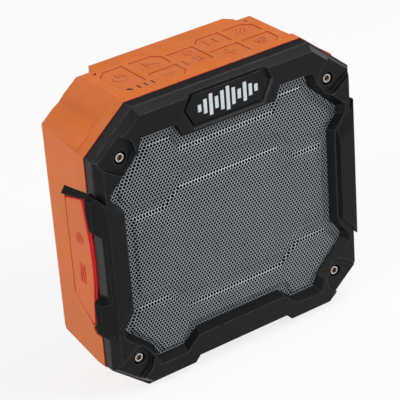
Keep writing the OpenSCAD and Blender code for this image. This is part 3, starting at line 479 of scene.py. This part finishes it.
def perforated_sheet_tree():
    """Six-sided cells, each with a round hole, laid in rows and pressed on a form."""
    t = bpy.data.node_groups.new("perforated_sheet", "GeometryNodeTree")
    t.interface.new_socket("Geometry", in_out="INPUT", socket_type="NodeSocketGeometry")
    for label, kind in (
        ("Form", "Object"), ("Outline", "Object"), ("Pitch", "Float"), ("Row Step", "Float"),
        ("Hole Diameter", "Float"), ("Thickness", "Float"), ("Columns", "Int"), ("Rows", "Int"),
        ("Middle Height", "Float"), ("Start Depth", "Float"), ("Finish", "Material"),
    ):
        t.interface.new_socket(label, in_out="INPUT", socket_type="NodeSocket" + kind)
    t.interface.new_socket("Geometry", in_out="OUTPUT", socket_type="NodeSocketGeometry")
    i = add(t, "NodeGroupInput").outputs
    o = add(t, "NodeGroupOutput")

    def calc(op, a, b=0.0):
        return math_node(t, op, a, b)

    def vec(x=0.0, y=0.0, z=0.0):
        return add(t, "ShaderNodeCombineXYZ", {0: x, 1: y, 2: z}).outputs[0]

    def position():
        return add(t, "GeometryNodeInputPosition").outputs[0]

    def moved(geometry, **how):
        return add(t, "GeometryNodeTransform", {"Geometry": geometry, **how}).outputs[0]

    def joined(*parts):
        n = add(t, "GeometryNodeJoinGeometry")
        for part in parts:
            t.links.new(part, n.inputs[0])
        return n.outputs[0]

    def ray(target, start):
        return add(t, "GeometryNodeRaycast", {
            "Target Geometry": target, "Source Position": start,
            "Ray Direction": (0.0, 1.0, 0.0), "Ray Length": 1.0,
        })

    # Rows of points, every second row moved by half a pitch, stood up in front of the form
    grid = add(t, "GeometryNodeMeshGrid", {
        "Size X": calc("MULTIPLY", calc("SUBTRACT", i["Columns"], 1.0), i["Pitch"]),
        "Size Y": calc("MULTIPLY", calc("SUBTRACT", i["Rows"], 1.0), i["Row Step"]),
        "Vertices X": i["Columns"], "Vertices Y": i["Rows"],
    })
    row = calc("MODULO", add(t, "GeometryNodeInputIndex").outputs[0], i["Rows"])
    shift = calc("MULTIPLY", calc("MODULO", row, 2.0), calc("MULTIPLY", i["Pitch"], 0.5))
    place = add(t, "ShaderNodeSeparateXYZ", {0: position()}).outputs
    spots = add(t, "GeometryNodeSetPosition", {
        "Geometry": grid.outputs[0],
        "Position": vec(calc("ADD", place[0], shift), i["Start Depth"],
                        calc("ADD", place[1], i["Middle Height"])),
    })
    outline = add(t, "GeometryNodeObjectInfo", {"Object": i["Outline"]}).outputs["Geometry"]
    inside = ray(outline, position()).outputs["Is Hit"]
    outside = add(t, "FunctionNodeBooleanMath", {0: inside}, operation="NOT").outputs[0]
    kept = add(t, "GeometryNodeDeleteGeometry", {
        "Geometry": spots.outputs[0], "Selection": outside,
    })

    # One cell: its front and the wall of its hole
    rim = add(t, "GeometryNodeCurvePrimitiveCircle", {
        "Resolution": 6, "Radius": calc("DIVIDE", i["Pitch"], math.sqrt(3)),
    }).outputs[0]
    squeeze = calc("DIVIDE", i["Row Step"], calc("MULTIPLY", i["Pitch"], math.sqrt(3) / 2))
    rim = moved(moved(rim, Rotation=(0, 0, math.pi / 6)), Scale=vec(1.0, squeeze, 1.0))
    half = calc("MULTIPLY", i["Hole Diameter"], 0.5)
    hole = add(t, "GeometryNodeCurvePrimitiveCircle", {"Resolution": HOLE_SIDES, "Radius": half})
    front = add(t, "GeometryNodeFillCurve", {"Curve": joined(rim, hole.outputs[0])})
    wall = add(t, "GeometryNodeMeshCylinder", {
        "Vertices": HOLE_SIDES, "Radius": half, "Depth": i["Thickness"],
    }, fill_type="NONE")
    wall = moved(wall.outputs[0], Translation=vec(z=calc("MULTIPLY", i["Thickness"], -0.5)))
    wall = add(t, "GeometryNodeFlipFaces", {"Mesh": wall})
    cell = moved(joined(front.outputs[0], wall.outputs[0]), Rotation=(math.pi / 2, 0, 0))

    # Lay the cells and press them on the form
    laid = add(t, "GeometryNodeInstanceOnPoints", {"Points": kept.outputs[0], "Instance": cell})
    real = add(t, "GeometryNodeRealizeInstances", {"Geometry": laid.outputs[0]})
    form = add(t, "GeometryNodeObjectInfo", {"Object": i["Form"]}).outputs["Geometry"]
    now = add(t, "ShaderNodeSeparateXYZ", {0: position()}).outputs
    start = vec(now[0], i["Start Depth"], now[2])
    hit = add(t, "ShaderNodeSeparateXYZ", {0: ray(form, start).outputs["Hit Position"]}).outputs
    depth = calc("ADD", hit[1], calc("SUBTRACT", now[1], i["Start Depth"]))
    pressed = add(t, "GeometryNodeSetPosition", {
        "Geometry": real.outputs[0], "Position": vec(now[0], depth, now[2]),
    })
    done = add(t, "GeometryNodeSetMaterial", {
        "Geometry": pressed.outputs[0], "Material": i["Finish"],
    })
    t.links.new(done.outputs[0], o.inputs[0])
    return t


def grown(name, tree, values):
    """Runs a tree on an empty mesh and keeps the result as a plain mesh."""
    o = bpy.data.objects.new(name, bpy.data.meshes.new(name))
    bpy.context.scene.collection.objects.link(o)
    mod = o.modifiers.new("grow", "NODES")
    mod.node_group = tree
    for item in tree.interface.items_tree:
        if item.in_out == "INPUT" and item.name in values:
            mod[item.identifier] = values[item.name]
    bpy.context.view_layer.update()
    deps = bpy.context.evaluated_depsgraph_get()
    me = bpy.data.meshes.new_from_object(o.evaluated_get(deps))
    o.modifiers.clear()
    o.data = me
    return o


form = press_form()
outline = sheet_outline()
sheet = grown("grille_sheet", perforated_sheet_tree(), {
    "Form": form, "Outline": outline, "Pitch": HOLE_PITCH * MM, "Row Step": ROW_STEP * MM,
    "Hole Diameter": HOLE_DIAMETER * MM, "Thickness": SHEET_THICKNESS * MM, "Columns": COLUMNS,
    "Rows": ROWS, "Middle Height": PANEL_Z * MM, "Start Depth": START_Y * MM,
    "Finish": finish["grille_grey"],
})
for helper in (form, outline):
    bpy.data.objects.remove(helper)
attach(sheet, "enclosure")
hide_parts("grille")


# Soft seals in the gaps round the keys

KEY_TOP = 122.4  # top of the keys at rest, mm
SEAL_DROP = 0.3  # how far the seals lie below it, mm
SEAL_SPAN = (0.02, 0.28)  # inner and outer edge of a seal, out from its key, mm
CUT_GROWTH = 0.586  # growth of a corner's cut for each mm that the outline grows
# Left, right, front and back behind the parting line, the cut corner and its cut, mm
KEY_PLANS = [
    (-37, -24.8, 9.9, 27.5, 3, 3.8), (-21.3, -8.3, 17.2, 27.2, 2, 3), (-21.3, -8.3, 4.7, 14, 1, 2.5),
    (-6.1, 6.1, 8.7, 23.3, None, 0), (8.3, 21.3, 17.2, 27.2, 3, 3), (8.3, 21.3, 4.7, 14, 0, 2.5),
    (23.8, 36.5, 17.2, 27.2, 2, 3.5), (23.8, 36.5, 4.7, 14, 1, 2.5),
]


def key_outline(plan, g):
    """Outline of a key, grown by g; its corners count from the front left, by the front right."""
    left, right, front, back, cut_at, cut = plan
    left, right, front, back = left - g, right + g, PART_Y + front - g, PART_Y + back + g
    corners = [Vector(p) for p in ((left, front), (right, front), (right, back), (left, back))]
    pts = []
    for n, p in enumerate(corners):
        if n == cut_at:
            beside = (corners[n - 1], corners[(n + 1) % 4])
            pts += [p + (q - p).normalized() * (cut + CUT_GROWTH * g) for q in beside]
        else:
            pts.append(p)
    return pts


def key_seals():
    bm = bmesh.new()
    z = (KEY_TOP - SEAL_DROP) * MM
    for plan in KEY_PLANS:
        inner, outer = ([bm.verts.new((p.x * MM, p.y * MM, z)) for p in key_outline(plan, g)]
                        for g in SEAL_SPAN)
        for n in range(len(inner)):
            bm.faces.new([outer[n - 1], outer[n], inner[n], inner[n - 1]])
    o = plain_mesh("key_seals", bm)
    o.data.materials.append(finish["key_orange"])
    return o


seals = key_seals()
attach(seals, "enclosure")


# Studio: floor, light and camera, in m

FLOOR_HALF = 4
FLOOR_Z = -0.0002
FLOOR_GLOW = 0.82  # share of plain white in the floor where it is a backdrop
WORLD_LIGHT = 0.26  # the white world's strength as a light; as a backdrop it is 1
LAMP_AIM = Vector((0, 0, 0.06))
# Name, place, width and power of each lamp, the power in W
LAMPS = (
    ("key", (0.44, -0.5, 0.7), 0.35, 4.2),
    ("left", (-0.78, -0.18, 0.5), 0.4, 3.9),
    ("overhead", (0.36, -0.04, 0.8), 0.15, 1.45),
    ("back", (0.3, 0.9, 0.5), 0.5, 1.2),
)
CAMERA_AT = (-0.38495, -0.57095, 0.43239)
CAMERA_TURN = (61.488, 3.826, -35.975)  # degrees
SENSOR = 36  # mm
FOCAL = 1930.33 / 400  # focal length as a share of the picture's width


def backdrop_rays(tree):
    """1 for rays that see the backdrop: from the camera, mirrored or through glass."""
    path = add(tree, "ShaderNodeLightPath").outputs
    rays = path["Is Camera Ray"]
    for other in ("Is Glossy Ray", "Is Transmission Ray"):
        rays = larger(tree, rays, path[other])
    return rays


def studio_floor():
    bm = bmesh.new()
    h = FLOOR_HALF
    for x, y in ((-h, -h), (h, -h), (h, h), (-h, h)):
        bm.verts.new((x, y, FLOOR_Z))
    bm.faces.new(bm.verts)
    o = plain_mesh("floor", bm)
    t, p = new_finish("floor_paper")
    p.inputs["Base Color"].default_value = (0.86, 0.86, 0.86, 1)
    p.inputs["Roughness"].default_value = 0.9
    glow = add(t, "ShaderNodeEmission", {"Color": (1, 1, 1, 1), "Strength": 1.0})
    blend = add(t, "ShaderNodeMixShader", {
        0: times(t, backdrop_rays(t), FLOOR_GLOW), 1: p.outputs[0], 2: glow.outputs[0],
    })
    t.links.new(blend.outputs[0], t.nodes["Material Output"].inputs[0])
    o.data.materials.append(finish["floor_paper"])


def studio_light():
    world = bpy.data.worlds.new("studio")
    world.use_nodes = True
    bpy.context.scene.world = world
    t = world.node_tree
    back = t.nodes["Background"]
    back.inputs["Color"].default_value = (1, 1, 1, 1)
    t.links.new(ramp(t, backdrop_rays(t), 0, 1, WORLD_LIGHT, 1.0), back.inputs["Strength"])
    for name, at, size, power in LAMPS:
        lamp = bpy.data.lights.new(name, "AREA")
        lamp.size = size
        lamp.energy = power
        o = bpy.data.objects.new(name, lamp)
        o.location = at
        o.rotation_euler = (LAMP_AIM - Vector(at)).to_track_quat("-Z", "Y").to_euler()
        bpy.context.scene.collection.objects.link(o)


def photo_camera():
    cam = bpy.data.cameras.new("photo_camera")
    cam.sensor_width = SENSOR
    cam.lens = FOCAL * SENSOR
    o = bpy.data.objects.new("photo_camera", cam)
    o.location = CAMERA_AT
    o.rotation_euler = [math.radians(a) for a in CAMERA_TURN]
    bpy.context.scene.collection.objects.link(o)
    bpy.context.scene.camera = o


studio_floor()
studio_light()
photo_camera()
bpy.context.scene.view_settings.view_transform = "Standard"
